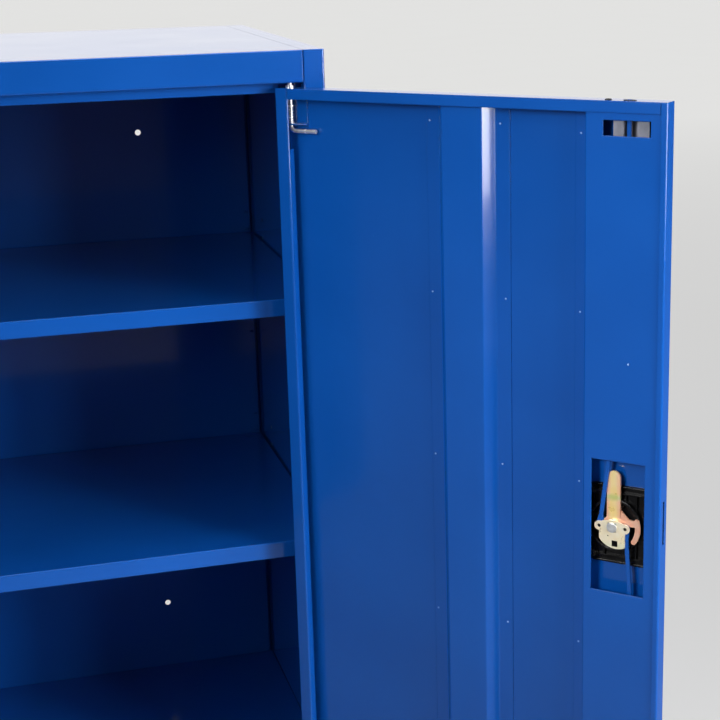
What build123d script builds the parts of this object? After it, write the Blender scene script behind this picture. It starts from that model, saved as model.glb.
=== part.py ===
from build123d import *

import os
from math import copysign, cos, radians, sin

# Two-door steel cabinet with two adjustable shelves and a three-point turning lock.
# Frame: +Z up, +X to the right seen from the front, +Y to the back.  The origin is on the
# floor at mid-width, at the middle of the front foot flange.  Millimetres.

# ---------------------------------------------------------------- driving dimensions
WIDTH = 980.0
DEPTH = 500.0
HEIGHT = 1000.0
SHEET = 1.0  # thickness of every folded sheet
BEND = 2.0  # outer bend radius
RIM_ROUND = 0.8  # rounding of a side panel's top rim
GAP = 0.5  # gap between two sheets that lie side by side

COLUMN_W = 24.0  # front column of a side panel, seen from the front
COLUMN_D = 38.0
REAR_FLANGE = 24.0
FOOT = 25.0  # width of the foot flanges on the floor
RAIL_H = 36.0  # front face of the top panel
PLINTH_H = 50.0  # front face of the bottom panel
STOP_GAP = 1.0  # between a closed door and its stops
STOP_H = 9.0
TOP_STOP_H = 12.0  # the stop behind the rail reaches this far below it
SWEEP_CLEAR = 0.7  # around the path of a door's inner corner, past the stops
DECK_Z = PLINTH_H + STOP_H + SHEET  # top of the bottom deck
BACK_INSET = 10.0  # inner face of the back panel, in front of the cabinet's rear plane
BACK_SIDE_GAP = 3.0  # between the back panel's folds and the side walls

WALL_HOLE_R = 4.0
WALL_HOLE_IN = 155.0  # wall fixing holes, from the cabinet's sides
WALL_HOLE_DOWN = 140.0  # from its top
WALL_HOLE_UP = 160.0  # and from the floor

SLOT_W = 5.5  # shelf slots
SLOT_H = 3.0
SLOT_FROM_WALL = 8.4
SLOT_PITCH = 25.0
SLOT_COUNT = 8
SLOT_TOPS = (260.5, 560.5)  # highest slot of each group, below the cabinet's top
SLOT_USED = 2  # which slot of a group, from the top, carries the shelf
SLOT_TO_LEDGE = 2.0  # a clip's ledge above the middle of its slot

SHELF_H = 20.0
SHELF_SIDE_GAP = 2.0
SHELF_FRONT_GAP = 2.0
SHELF_BACK_GAP = 2.5
SHELF_RETURN = 15.0

CLIP_W = 12.0
CLIP_SHEET = 1.5
CLIP_DROP = 14.0
CLIP_FIT = 0.3  # clearance of a clip's tab in its slot
CLIP_HOOK = 5.0

DOOR_OPEN = 134.4  # degrees, the angle at which both doors stand open
DOOR_T = 19.5  # overall thickness of a folded door
DOOR_TOP_GAP = 5.0
DOOR_SIDE_GAP = 4.0
DOOR_BOTTOM_GAP = 5.0
MEETING_GAP = 3.0
LIP_HINGE = 16.0  # inner lips along the four edges of a door pan
LIP_TOP = 12.0
LIP_CLOSING = 7.0
HINGE_RETURN = 10.0  # third fold of the hinge side, back towards the skin
NOTCH_TOP = 8.0  # notch in that fold, below the door's top
NOTCH_H = 59.5
LIP_SEAM = 0.6

HAT_LEFT = 207.0  # stiffener face, from the hinge edge
HAT_FACE = 47.5
HAT_SLANT = 9.5
HAT_FLANGE_HINGE = 16.0
HAT_FLANGE_FREE = 17.0
HAT_CLEAR = 3.5  # stiffener face below the plane of the lips

CHANNEL_IN = 88.0  # lock channel's corner, from the closing edge
CHANNEL_FLANGE = 17.5
CHANNEL_TUCK = 2.0  # how far it stops short of the closing fold
WINDOW_IN = (68.2, 17.5)  # guide windows, from the closing edge
WINDOW_H = 15.5
WINDOW_FROM_TOP = 19.4
CUTOUT_IN = (78.2, 18.2)  # lock cutout, from the closing edge
CUTOUT_H = 147.5
CUTOUT_SHIFT = 1.5  # the cutout's middle is this far above the lock's axis

PIN_U = 11.1  # hinge pins, from the door's hinge edge
PIN_H = 5.5  # and from its outer face
PIN_R = 2.5
PIN_FIT = 0.08  # radial running clearance
PIN_TIP_ABOVE = 10.5  # top pin's tip, above the door's top
PIN_HANDLE_DROP = 48.0  # axis of its bent handle, below the door's top
PIN_HANDLE_L = 33.0
PIN_BEND = 6.0
SPRING_WIRE_R = 0.45
SPRING_R = 3.0  # mean radius of the coil
SPRING_PITCH = 2.8
CIRCLIP_R = 5.0
CIRCLIP_T = 0.8
CIRCLIP_DROP = 20.0  # below the door's top
BRACKET_U = (16.2, 31.0)
BRACKET_H = (8.0, 45.5)  # top and bottom of the bracket, below the door's top
BRACKET_TAB_UP = 4.0  # its tab above its bottom edge, clear of the pin's bend
WASHER_R = 4.8
WASHER_T = 2.0
PIVOT_HEAD_R = 3.4
PIVOT_TAIL = 3.0  # head of the bottom pivot pin, under the plinth's return
PIVOT_REACH = 12.0  # bottom pivot pin, above the plinth

LOCK_IN = 55.7  # lock axis, from the closing edge
LOCK_UP = 2.0  # lock axis above the door's middle
EAR_R = 14.8  # rod pivots, from the lock axis
EAR_HOLE_R = 2.0
EAR_END_R = 5.2
CAM_R = 23.5  # its lower edge, round a point beside the axis
CAM_SHIFT = 4.5
CAM_HALF_W = 14.6
CAM_DOT = (4.5, 10.0, 0.9)  # small hole: offsets and radius
CAM_NOTCH = (3.0, 18.0, 7.0)  # square hole: offsets and side
CAM_FLOOR = 13.5  # heights inside the door, from the skin's outer face
CAM_T = 1.5
ROD_FLOOR = 11.3
ROD_T = 2.0
ROD_W = 4.5
ROD_END_R = 4.6
ROD_TAPER = 12.0  # length of the widened end
ROD_STUB_BELOW = 1.0  # a rod's stub, short of the cam plate's face
ROD_LEAN = (9.5, 5.5)  # sideways run of the upper and lower rod up to the first bend
ROD_KNEE = (74.0, 210.0)  # first and second bend, from the lock axis
ROD_BEND = 60.0
TONGUE_FLOOR = 8.6
TONGUE_T = 2.5
TONGUE_REACH = 62.0
TONGUE_W = 15.0
HUB_R = 12.5
HOOK_R = (24.5, 30.0)  # hook arm, inner and outer radius
HOOK_FROM = -32.0  # degrees, where the hook arm ends
HOOK_SWEEP = 50.0
HOOK_ROOT = 12.0
HOOK_WEB = (19.5, 20.5)  # corners of the web between the hook arm and the strap, from the axis
SPACER_R = 8.5
HOUSING_T = 7.3
HOUSING_STEP = 0.6  # share of the housing's depth taken by its plate
HOUSING_IN = (86.0, 11.5)  # from the closing edge
HOUSING_H = 88.0
HOUSING_ROUND = 6.0
COLLAR_R = 30.0
COLLAR_WALL = 3.0
SPINDLE_R = 7.0
SPINDLE_SQUARE = 10.0
LOCK_FIT = 0.08
LOCK_HOLE_R = 16.0  # hole in the door skin
ESCUTCHEON_T = 5.0
ESCUTCHEON_R = 32.0
ESCUTCHEON_H = 122.0
ESCUTCHEON_ROUND = 1.5
KNOB_CLEAR = 0.3
KNOB_ROUND = 2.0
KNOB_R = 26.0
KNOB_T = 9.0
GRIP_L = 84.0
GRIP_W = 17.0
GRIP_T = 17.0
GRIP_ROUND = 3.0
KEY_R = 6.0
KEY_DEPTH = 14.0
KEY_BACK = 1.5  # wall between the key plug and the spindle's hole
KEY_PROUD = 0.8
KEYWAY = (1.4, 6.0, 8.0)  # width, length and depth
RIVET_R = 5.6
RIVET_NECK = (4.8, 0.8)  # radius, and depth in the cam plate's hole
RIVET_T = 1.6
SCREW_R = 2.0
SCREW_GRIP = 3.5  # depth of the screw holes in the escutcheon
SCREW_HEAD_T = 2.2
LOCK_SCREWS = ((-25.5, -36.0), (-25.5, 36.0), (0.0, 38.0))  # from the lock axis
ROD_IN = 42.5  # rods where they pass their guides, from the closing edge
ROD_SLOT_IN = (48.3, 36.5)  # where a rod may pass through the door's ends
ROD_SLOT_H = 3.2
GUIDE_IN = (58.2, 20.0)  # from the closing edge
GUIDE_CLEAR = 1.5  # under the channel's face
GUIDE_L = 52.0
GUIDE_FOOT_IN = 71.5
GUIDE_FOOT_T = 6.0
GUIDE_SLOT_FLOOR = 4.0
GUIDE_SLOT_IN = (47.5, 32.5)  # the slot in a guide, from the closing edge
GUIDE_SCREW_IN = 65.5
BUSH_PROUD = 0.7
TONGUE_SLOT_Z = (-12.0, 36.0)  # slot in the closing folds, about the lock axis
TONGUE_SLOT_H = (8.1, 11.6)
ROD_PROUD = 1.2  # a drawn-in rod's tip, beyond the door's end

STRIP_W = 30.0  # meeting strip on the left door
STRIP_OVER = 12.0  # how far it reaches behind the right door
STRIP_JOG = 0.5

# ---------------------------------------------------------------- worked-out places
FRONT = -FOOT / 2
BACK = FRONT + DEPTH
WALL = WIDTH / 2 - SHEET  # inner face of a side wall
BAY = WIDTH / 2 - COLUMN_W  # inner face of a front column
SPAN = BAY - GAP  # half width of the top and bottom panels between the columns
BACK_FACE = BACK - BACK_INSET
STOP_SETBACK = DOOR_T + STOP_GAP  # front planes of the door stops, behind the rail

DOOR_HIGH = HEIGHT - RAIL_H - DOOR_TOP_GAP
DOOR_LOW = PLINTH_H + DOOR_BOTTOM_GAP
DOOR_H = DOOR_HIGH - DOOR_LOW
DOOR_W = BAY - DOOR_SIDE_GAP - MEETING_GAP / 2
PIN_X = BAY - DOOR_SIDE_GAP - PIN_U
PIN_Y = FRONT + PIN_H
SWEEP_R = (PIN_U**2 + (DOOR_T - PIN_H) ** 2) ** 0.5 + SWEEP_CLEAR
LOCK_Z = (DOOR_HIGH + DOOR_LOW) / 2 + LOCK_UP

# The same places, from the hinge edge.
CHANNEL_LEFT = DOOR_W - CHANNEL_IN
WINDOW_U = [DOOR_W - distance for distance in WINDOW_IN]
CUTOUT_U = [DOOR_W - distance for distance in CUTOUT_IN]
LOCK_U = DOOR_W - LOCK_IN
HOUSING_U = [DOOR_W - distance for distance in HOUSING_IN]
ROD_U = DOOR_W - ROD_IN
ROD_SLOT_U = [DOOR_W - distance for distance in ROD_SLOT_IN]
GUIDE_U = [DOOR_W - distance for distance in GUIDE_IN]
GUIDE_SLOT_U = [DOOR_W - distance for distance in GUIDE_SLOT_IN]
GUIDE_FOOT_U = DOOR_W - GUIDE_FOOT_IN
GUIDE_SCREW_U = DOOR_W - GUIDE_SCREW_IN
GUIDE_T = (SHEET, DOOR_T - 2 * SHEET - GUIDE_CLEAR)  # heights inside the door

LEFT = 1  # side of a folding path on which the metal lies
RIGHT = -1

# Every door piece is modelled as the left door's, in u (from the hinge edge towards the
# closing edge), h (from the outer face inwards) and z, and mirrored for the right door.
_turn = radians(-DOOR_OPEN)
_corner = Vector(-PIN_X, PIN_Y, 0) + Vector(-PIN_U, -PIN_H, 0).rotate(Axis.Z, -DOOR_OPEN)
DOOR = Plane(origin=_corner, x_dir=(cos(_turn), sin(_turn), 0), z_dir=(0, 0, 1))
INWARD = Axis(_corner, DOOR.y_dir)  # the direction of h


def door_face(height):
    """The door's own elevation at a height above its outer face: x is u, y is up, seen from inside."""
    origin = DOOR.from_local_coords(Vector(0, height, 0))
    return Plane(origin=origin, x_dir=DOOR.x_dir, z_dir=-DOOR.y_dir)


def door_box(u, h, z, mode=Mode.ADD):
    """A block of the open part, between two values each of u, h and z."""
    with BuildSketch(DOOR.offset(z[0])) as outline:
        with Locations(((u[0] + u[1]) / 2, (h[0] + h[1]) / 2)):
            Rectangle(u[1] - u[0], h[1] - h[0])
    extrude(outline.sketch, amount=z[1] - z[0], mode=mode)


def block(x, y, z, mode=Mode.ADD):
    """A block of the open part, between two values each of x, y and z."""
    with Locations(((x[0] + x[1]) / 2, (y[0] + y[1]) / 2, (z[0] + z[1]) / 2)):
        Box(abs(x[1] - x[0]), abs(y[1] - y[0]), abs(z[1] - z[0]), mode=mode)


def folded(plane, points, side, length):
    """A sheet folded along a path on one of its faces; the metal is on the path's given side."""
    path = [Vector(*point) for point in points]
    runs = [(end - start).normalized() for start, end in zip(path, path[1:])]
    normals = [Vector(-run.Y, run.X) * side for run in runs]
    far = [path[0] + normals[0] * SHEET]
    far_bends = []
    for corner, before, after in zip(path[1:], normals, normals[1:]):
        far.append(corner + (before + after) * (SHEET / (1 + before.dot(after))))
        turn = copysign(SHEET, before.cross(after).Z * side)
        far_bends.append(BEND - turn)
    far.append(path[-1] + normals[-1] * SHEET)
    with BuildSketch(plane) as section:
        with BuildLine():
            near_face = FilletPolyline(*path, radius=BEND)
            far_face = FilletPolyline(*far, radius=far_bends)
            Line(near_face @ 0, far_face @ 0)
            Line(near_face @ 1, far_face @ 1)
        make_face()
    extrude(section.sketch, amount=length)


def save(part, name, color):
    part.label = name
    part.color = Color(*color)
    export_step(part, f"parts/{name}.step")
    print(name, len(part.solids()), round(part.volume, 1))


def save_pair(part, left, right, color):
    """Writes a left-hand piece, and its mirror image for the right side."""
    save(part, left, color)
    save(mirror(part, about=Plane.YZ), right, color)


BLUE = (0.06, 0.2, 0.5)
ZINC = (0.75, 0.72, 0.55)
STEEL = (0.75, 0.76, 0.78)
BLACK = (0.05, 0.05, 0.06)
NYLON = (0.7, 0.7, 0.69)

os.makedirs("parts", exist_ok=True)

# ---------------------------------------------------------------- side panels
slot_x = WALL - SLOT_FROM_WALL
slot_levels = [HEIGHT - top - SLOT_PITCH * i for top in SLOT_TOPS for i in range(SLOT_COUNT)]

with BuildPart() as side_panel:
    folded(
        Plane.XY.offset(SHEET),
        [
            (-WALL + GAP, FRONT + COLUMN_D),
            (-BAY, FRONT + COLUMN_D),
            (-BAY, FRONT),
            (-WIDTH / 2, FRONT),
            (-WIDTH / 2, BACK),
            (-WIDTH / 2 + REAR_FLANGE, BACK),
        ],
        RIGHT,
        HEIGHT - 2 * SHEET,
    )
    for level in (0, HEIGHT - SHEET):
        with BuildSketch(Plane.XY.offset(level)) as rim:
            with Locations((-WIDTH / 2 + COLUMN_W / 2, (FRONT + BACK) / 2)):
                Rectangle(COLUMN_W, DEPTH)
            fillet(rim.vertices().group_by(Axis.X)[0], radius=BEND)
        extrude(amount=SHEET)
    block(
        (-BAY - SHEET, -BAY),
        (FRONT + COLUMN_D - SHEET, BACK_FACE - GAP),
        (HEIGHT - RAIL_H / 2, HEIGHT - SHEET),
    )
    top_rim = side_panel.edges().group_by(Axis.Z)[-1]
    fillet(top_rim.filter_by(lambda edge: edge.center().X < -BAY - SHEET), radius=RIM_ROUND)
    with BuildSketch(Plane.XZ.offset(-(FRONT + COLUMN_D + SHEET))):
        with Locations(*[(-slot_x, level) for level in slot_levels]):
            Rectangle(SLOT_W, SLOT_H)
    extrude(amount=3 * SHEET, mode=Mode.SUBTRACT)
save_pair(side_panel.part, "left_side_panel", "right_side_panel", BLUE)

# ---------------------------------------------------------------- back panel
back_half = WALL - BACK_SIDE_GAP
with BuildPart() as back_panel:
    folded(
        Plane.XY.offset(SHEET),
        [
            (-back_half + REAR_FLANGE - 2 * BEND, BACK - SHEET),
            (-back_half, BACK - SHEET),
            (-back_half, BACK_FACE),
            (back_half, BACK_FACE),
            (back_half, BACK - SHEET),
            (back_half - REAR_FLANGE + 2 * BEND, BACK - SHEET),
        ],
        LEFT,
        HEIGHT - 2 * SHEET - GAP,
    )
    for low in (SHEET, HEIGHT - 2 * SHEET - GAP):
        block(
            (-SPAN + BEND, SPAN - BEND),
            (BACK_FACE + SHEET, BACK - SHEET - GAP),
            (low, low + SHEET),
        )
    with BuildSketch(Plane.XZ.offset(-BACK_FACE - 2 * SHEET)):
        for side in (-1, 1):
            with Locations(*[(side * slot_x, level) for level in slot_levels]):
                Rectangle(SLOT_W, SLOT_H)
        hole_x = WIDTH / 2 - WALL_HOLE_IN
        for x in (-hole_x, hole_x):
            with Locations((x, WALL_HOLE_UP), (x, HEIGHT - WALL_HOLE_DOWN)):
                Circle(WALL_HOLE_R)
    extrude(amount=3 * SHEET, mode=Mode.SUBTRACT)
save(back_panel.part, "back_panel", BLUE)

# ---------------------------------------------------------------- top and bottom panels
rod_y = FRONT + ROD_FLOOR + ROD_T / 2
keeper_w = ROD_SLOT_U[1] - ROD_SLOT_U[0] + 4
keeper_d = ROD_SLOT_H + 3


def panel_holes(level):
    """Holes for the two hinge pins and a keeper slot for a lock rod, in a return of the open part."""
    with BuildSketch(Plane.XY.offset(level - SHEET)) as holes:
        with Locations((-PIN_X, PIN_Y), (PIN_X, PIN_Y)):
            Circle(PIN_R + PIN_FIT)
        with Locations((BAY - DOOR_SIDE_GAP - sum(ROD_SLOT_U) / 2, rod_y)):
            Rectangle(keeper_w, keeper_d)
    extrude(holes.sketch, amount=3 * SHEET, mode=Mode.SUBTRACT)


def sweep_reliefs(low, high):
    """Round notches in a door stop of the open part, clear of the doors' turning inner corners."""
    with BuildSketch(Plane.XY.offset(low)) as swept:
        with Locations((-PIN_X, PIN_Y), (PIN_X, PIN_Y)):
            Circle(SWEEP_R)
        with Locations((0, FRONT + STOP_SETBACK - SWEEP_R)):
            Rectangle(2 * WIDTH, 2 * SWEEP_R, mode=Mode.SUBTRACT)
    extrude(swept.sketch, amount=high - low, mode=Mode.SUBTRACT)


with BuildPart() as top_panel:
    folded(
        Plane.YZ.offset(-SPAN),
        [
            (BACK, HEIGHT - REAR_FLANGE),
            (BACK, HEIGHT),
            (FRONT, HEIGHT),
            (FRONT, HEIGHT - RAIL_H),
            (FRONT + STOP_SETBACK, HEIGHT - RAIL_H),
            (FRONT + STOP_SETBACK, HEIGHT - RAIL_H - TOP_STOP_H),
        ],
        LEFT,
        2 * SPAN,
    )
    panel_holes(HEIGHT - RAIL_H)
    sweep_reliefs(HEIGHT - RAIL_H - TOP_STOP_H, DOOR_HIGH + DOOR_TOP_GAP / 2)
save(top_panel.part, "top_panel", BLUE)

# Strips welded under the top sheet, along the side walls.
with BuildPart() as top_side_strips:
    for side in (-1, 1):
        block(
            (side * (SPAN - SHEET), side * SPAN),
            (FRONT + COLUMN_D + SHEET, BACK_FACE - GAP),
            (HEIGHT - RAIL_H / 2, HEIGHT - SHEET),
        )
save(top_side_strips.part, "top_side_strips", BLUE)

deck_half = WALL - GAP
with BuildPart() as bottom_panel:
    folded(
        Plane.YZ.offset(-SPAN),
        [
            (FRONT + FOOT, 0),
            (FRONT, 0),
            (FRONT, PLINTH_H),
            (FRONT + STOP_SETBACK, PLINTH_H),
            (FRONT + STOP_SETBACK, DECK_Z),
            (BACK_FACE, DECK_Z),
            (BACK_FACE, FOOT),
        ],
        RIGHT,
        2 * SPAN,
    )
    for side in (-1, 1):
        block(
            (side * (SPAN - SHEET), side * deck_half),
            (FRONT + COLUMN_D + GAP, BACK_FACE - BEND),
            (DECK_Z - SHEET, DECK_Z),
        )
        block(
            (side * (deck_half - SHEET), side * deck_half),
            (FRONT + COLUMN_D + GAP, BACK_FACE - BEND),
            (FOOT, DECK_Z - SHEET),
        )
    panel_holes(PLINTH_H - SHEET)
    sweep_reliefs(DOOR_LOW - DOOR_BOTTOM_GAP / 2, DECK_Z)
save(bottom_panel.part, "bottom_panel", BLUE)

# ---------------------------------------------------------------- shelves and their clips
shelf_half = WALL - SHELF_SIDE_GAP
shelf_front = FRONT + COLUMN_D + SHELF_FRONT_GAP
shelf_back = BACK_FACE - SHELF_BACK_GAP
ledge_levels = [HEIGHT - top - SLOT_PITCH * SLOT_USED + SLOT_TO_LEDGE for top in SLOT_TOPS]

for name, ledge in zip(("upper_shelf", "lower_shelf"), ledge_levels):
    with BuildPart() as shelf:
        block((-shelf_half, shelf_half), (shelf_front, shelf_back), (ledge, ledge + SHELF_H))
        fillet(shelf.edges().group_by(Axis.Z)[-1], radius=BEND * 0.75)
        block(
            (-shelf_half + SHEET, shelf_half - SHEET),
            (shelf_front + SHEET, shelf_back - SHEET),
            (ledge, ledge + SHELF_H - SHEET),
            Mode.SUBTRACT,
        )
        block(
            (-shelf_half + SHEET, shelf_half - SHEET),
            (shelf_front + SHEET, shelf_front + SHELF_RETURN),
            (ledge, ledge + SHEET),
        )
        block(
            (-shelf_half + SHEET, shelf_half - SHEET),
            (shelf_front + SHELF_RETURN - SHEET, shelf_front + SHELF_RETURN),
            (ledge + SHEET, ledge + SHELF_H / 2),
        )
    save(shelf.part, name, BLUE)

tab_w = SLOT_W - 2 * CLIP_FIT
tab_h = SLOT_H - 2 * CLIP_FIT
with BuildPart() as shelf_clips:
    for ledge in ledge_levels:
        slot_z = ledge - SLOT_TO_LEDGE
        for x in (-slot_x, slot_x):
            # The rear clip reaches forwards from the back panel, and the front one backwards
            # from the column's rear wall.
            for face, out in ((BACK_FACE, -1), (FRONT + COLUMN_D, 1)):
                behind = face - out * (SHEET + CLIP_FIT)
                sheet_end = behind - out * CLIP_SHEET
                block(
                    (x - CLIP_W / 2, x + CLIP_W / 2),
                    (face, face + out * CLIP_SHEET),
                    (ledge - CLIP_DROP, ledge),
                )
                block(
                    (x - CLIP_W / 2, x + CLIP_W / 2),
                    (face, face + out * CLIP_W),
                    (ledge - CLIP_SHEET, ledge),
                )
                block(
                    (x - tab_w / 2, x + tab_w / 2),
                    (sheet_end, face),
                    (slot_z - tab_h / 2, slot_z + tab_h / 2),
                )
                block(
                    (x - tab_w / 2, x + tab_w / 2),
                    (sheet_end, behind),
                    (slot_z - tab_h / 2 - CLIP_HOOK, slot_z - tab_h / 2),
                )
save(shelf_clips.part, "shelf_clips", STEEL)

# ---------------------------------------------------------------- door pans
lip = DOOR_T - SHEET  # outer-face height of the lips' outer side
window_top = DOOR_HIGH - WINDOW_FROM_TOP
cutout_mid = LOCK_Z + CUTOUT_SHIFT
slot_mid_u = sum(ROD_SLOT_U) / 2
slot_len_u = ROD_SLOT_U[1] - ROD_SLOT_U[0]
rod_mid_h = ROD_FLOOR + ROD_T / 2


def door_pan(with_lock):
    with BuildPart() as pan:
        folded(
            DOOR.offset(DOOR_LOW),
            [
                (LIP_HINGE, DOOR_T - HINGE_RETURN),
                (LIP_HINGE, DOOR_T),
                (0, DOOR_T),
                (0, 0),
                (DOOR_W, 0),
                (DOOR_W, DOOR_T),
                (DOOR_W - LIP_CLOSING, DOOR_T),
            ],
            LEFT,
            DOOR_H,
        )
        # Top and bottom returns with their lips.
        for end, inward in ((DOOR_HIGH, -1), (DOOR_LOW, 1)):
            door_box((SHEET, DOOR_W - SHEET), (SHEET, DOOR_T), sorted((end, end + inward * SHEET)))
            door_box(
                (LIP_HINGE, DOOR_W - LIP_CLOSING - LIP_SEAM),
                (lip, DOOR_T),
                sorted((end, end + inward * LIP_TOP)),
            )
        # Notch in the hinge side's third fold, where the spring pin is worked.
        for notch in (
            (DOOR_HIGH - NOTCH_TOP - NOTCH_H, DOOR_HIGH - NOTCH_TOP),
            (DOOR_LOW + LIP_TOP, DOOR_LOW + NOTCH_H),
        ):
            door_box(
                (LIP_HINGE - 1.5 * SHEET, LIP_HINGE + GAP),
                (DOOR_T - HINGE_RETURN - GAP, DOOR_T - BEND),
                notch,
                Mode.SUBTRACT,
            )
        # Hinge pin holes through both ends.
        with BuildSketch(DOOR.offset(DOOR_LOW - SHEET)):
            with Locations((PIN_U, PIN_H)):
                Circle(PIN_R + PIN_FIT)
        extrude(amount=DOOR_H + 2 * SHEET, mode=Mode.SUBTRACT)
        # Slot in the closing fold for the lock's tongue.
        door_box(
            (DOOR_W - 1.5 * SHEET, DOOR_W + GAP),
            TONGUE_SLOT_H,
            (LOCK_Z + TONGUE_SLOT_Z[0], LOCK_Z + TONGUE_SLOT_Z[1]),
            Mode.SUBTRACT,
        )
        if with_lock:
            for low in (DOOR_HIGH - 1.5 * SHEET, DOOR_LOW - GAP):
                with BuildSketch(DOOR.offset(low)):
                    with Locations((slot_mid_u, rod_mid_h)):
                        SlotOverall(slot_len_u + 2 * SHEET, ROD_SLOT_H + 2 * SHEET)
                    with Locations((GUIDE_SCREW_U, rod_mid_h)):
                        Circle(SCREW_R + PIN_FIT)
                extrude(amount=2 * SHEET, mode=Mode.SUBTRACT)
            with BuildSketch(door_face(2 * SHEET)):
                with Locations((LOCK_U, LOCK_Z)):
                    Circle(LOCK_HOLE_R)
                for u, z in LOCK_SCREWS:
                    with Locations((LOCK_U + u, LOCK_Z + z)):
                        Circle(SCREW_R + PIN_FIT)
            extrude(amount=3 * SHEET, mode=Mode.SUBTRACT)
    return pan.part


save(door_pan(False), "left_door_pan", BLUE)
save(mirror(door_pan(True), about=Plane.YZ), "right_door_pan", BLUE)

# ---------------------------------------------------------------- door stiffeners and channels
inner = DOOR_LOW + SHEET + GAP
inner_h = DOOR_H - 2 * (SHEET + GAP)
hat_top = DOOR_T - HAT_CLEAR
hat_right = HAT_LEFT + HAT_FACE
with BuildPart() as stiffener:
    folded(
        DOOR.offset(inner),
        [
            (HAT_LEFT - HAT_SLANT - HAT_FLANGE_HINGE, 2 * SHEET),
            (HAT_LEFT - HAT_SLANT, 2 * SHEET),
            (HAT_LEFT, hat_top),
            (hat_right, hat_top),
            (hat_right + HAT_SLANT, 2 * SHEET),
            (hat_right + HAT_SLANT + HAT_FLANGE_FREE, 2 * SHEET),
        ],
        RIGHT,
        inner_h,
    )
save_pair(stiffener.part, "left_door_stiffener", "right_door_stiffener", BLUE)


def edge_channel(with_lock):
    with BuildPart() as channel:
        folded(
            DOOR.offset(inner),
            [
                (CHANNEL_LEFT - CHANNEL_FLANGE, 2 * SHEET),
                (CHANNEL_LEFT, 2 * SHEET),
                (CHANNEL_LEFT, lip),
                (DOOR_W - SHEET - CHANNEL_TUCK, lip),
            ],
            RIGHT,
            inner_h,
        )
        if with_lock:
            with BuildSketch(door_face(lip + SHEET)):
                with Locations((sum(CUTOUT_U) / 2, cutout_mid)):
                    Rectangle(CUTOUT_U[1] - CUTOUT_U[0], CUTOUT_H)
                for middle in (
                    window_top - WINDOW_H / 2,
                    DOOR_LOW + WINDOW_FROM_TOP + WINDOW_H / 2,
                ):
                    with Locations((sum(WINDOW_U) / 2, middle)):
                        Rectangle(WINDOW_U[1] - WINDOW_U[0], WINDOW_H)
            extrude(amount=3 * SHEET, mode=Mode.SUBTRACT)
    return channel.part


save(edge_channel(False), "left_door_edge_channel", BLUE)
save(mirror(edge_channel(True), about=Plane.YZ), "right_door_lock_channel", BLUE)

with BuildPart() as meeting_strip:
    folded(
        DOOR.offset(DECK_Z + 2 * SHEET),
        [
            (DOOR_W + STRIP_OVER - STRIP_W, DOOR_T),
            (DOOR_W - SHEET, DOOR_T),
            (DOOR_W + MEETING_GAP - SHEET, DOOR_T + STRIP_JOG),
            (DOOR_W + STRIP_OVER, DOOR_T + STRIP_JOG),
        ],
        LEFT,
        HEIGHT - RAIL_H - TOP_STOP_H - 2 * SHEET - (DECK_Z + 2 * SHEET),
    )
save(meeting_strip.part, "left_door_meeting_strip", BLUE)

# ---------------------------------------------------------------- spring hinge pins
handle_z = DOOR_HIGH - PIN_HANDLE_DROP
with BuildPart() as hinge_pin:
    pin_side = Plane(
        origin=DOOR.from_local_coords(Vector(PIN_U, PIN_H, 0)), x_dir=DOOR.x_dir, z_dir=-DOOR.y_dir
    )
    with BuildLine(pin_side):
        pin_path = FilletPolyline(
            (0, DOOR_HIGH + PIN_TIP_ABOVE), (0, handle_z), (PIN_HANDLE_L, handle_z), radius=PIN_BEND
        )
    with BuildSketch(DOOR.offset(DOOR_HIGH + PIN_TIP_ABOVE)):
        with Locations((PIN_U, PIN_H)):
            Circle(PIN_R)
    sweep(path=pin_path)
    ends = hinge_pin.edges().filter_by(GeomType.CIRCLE)
    chamfer(ends.sort_by(Axis.Z)[-1], length=PIN_R * 0.35)
    chamfer(hinge_pin.faces().sort_by_distance(pin_path @ 1)[0].edges(), length=PIN_R * 0.2)
save_pair(hinge_pin.part, "left_hinge_pin", "right_hinge_pin", STEEL)

bracket_top = DOOR_HIGH - BRACKET_H[0]
bracket_low = DOOR_HIGH - BRACKET_H[1]
circlip_low = DOOR_HIGH - CIRCLIP_DROP - CIRCLIP_T
tab_low = bracket_low + BRACKET_TAB_UP
spring_low = tab_low + 2 * SHEET + SPRING_WIRE_R
spring_len = circlip_low - SPRING_WIRE_R - spring_low
pin_axis = DOOR.from_local_coords(Vector(PIN_U, PIN_H, 0))

with BuildPart() as spring:
    with BuildLine(Plane(origin=pin_axis + Vector(0, 0, spring_low), z_dir=(0, 0, 1))) as coil:
        Helix(pitch=SPRING_PITCH, height=spring_len, radius=SPRING_R)
    with BuildSketch(Plane(origin=coil.line @ 0, z_dir=coil.line % 0)):
        Circle(SPRING_WIRE_R)
    sweep(is_frenet=True)
save_pair(spring.part, "left_hinge_spring", "right_hinge_spring", STEEL)

with BuildPart() as circlip:
    with BuildSketch(DOOR.offset(circlip_low)):
        with Locations((PIN_U, PIN_H)):
            Circle(CIRCLIP_R - GAP)
            Circle(PIN_R, mode=Mode.SUBTRACT)
        with Locations((PIN_U + CIRCLIP_R / 2, PIN_H)):
            Rectangle(CIRCLIP_R, PIN_R, mode=Mode.SUBTRACT)
    extrude(amount=CIRCLIP_T)
save_pair(circlip.part, "left_hinge_clip", "right_hinge_clip", STEEL)

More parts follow.
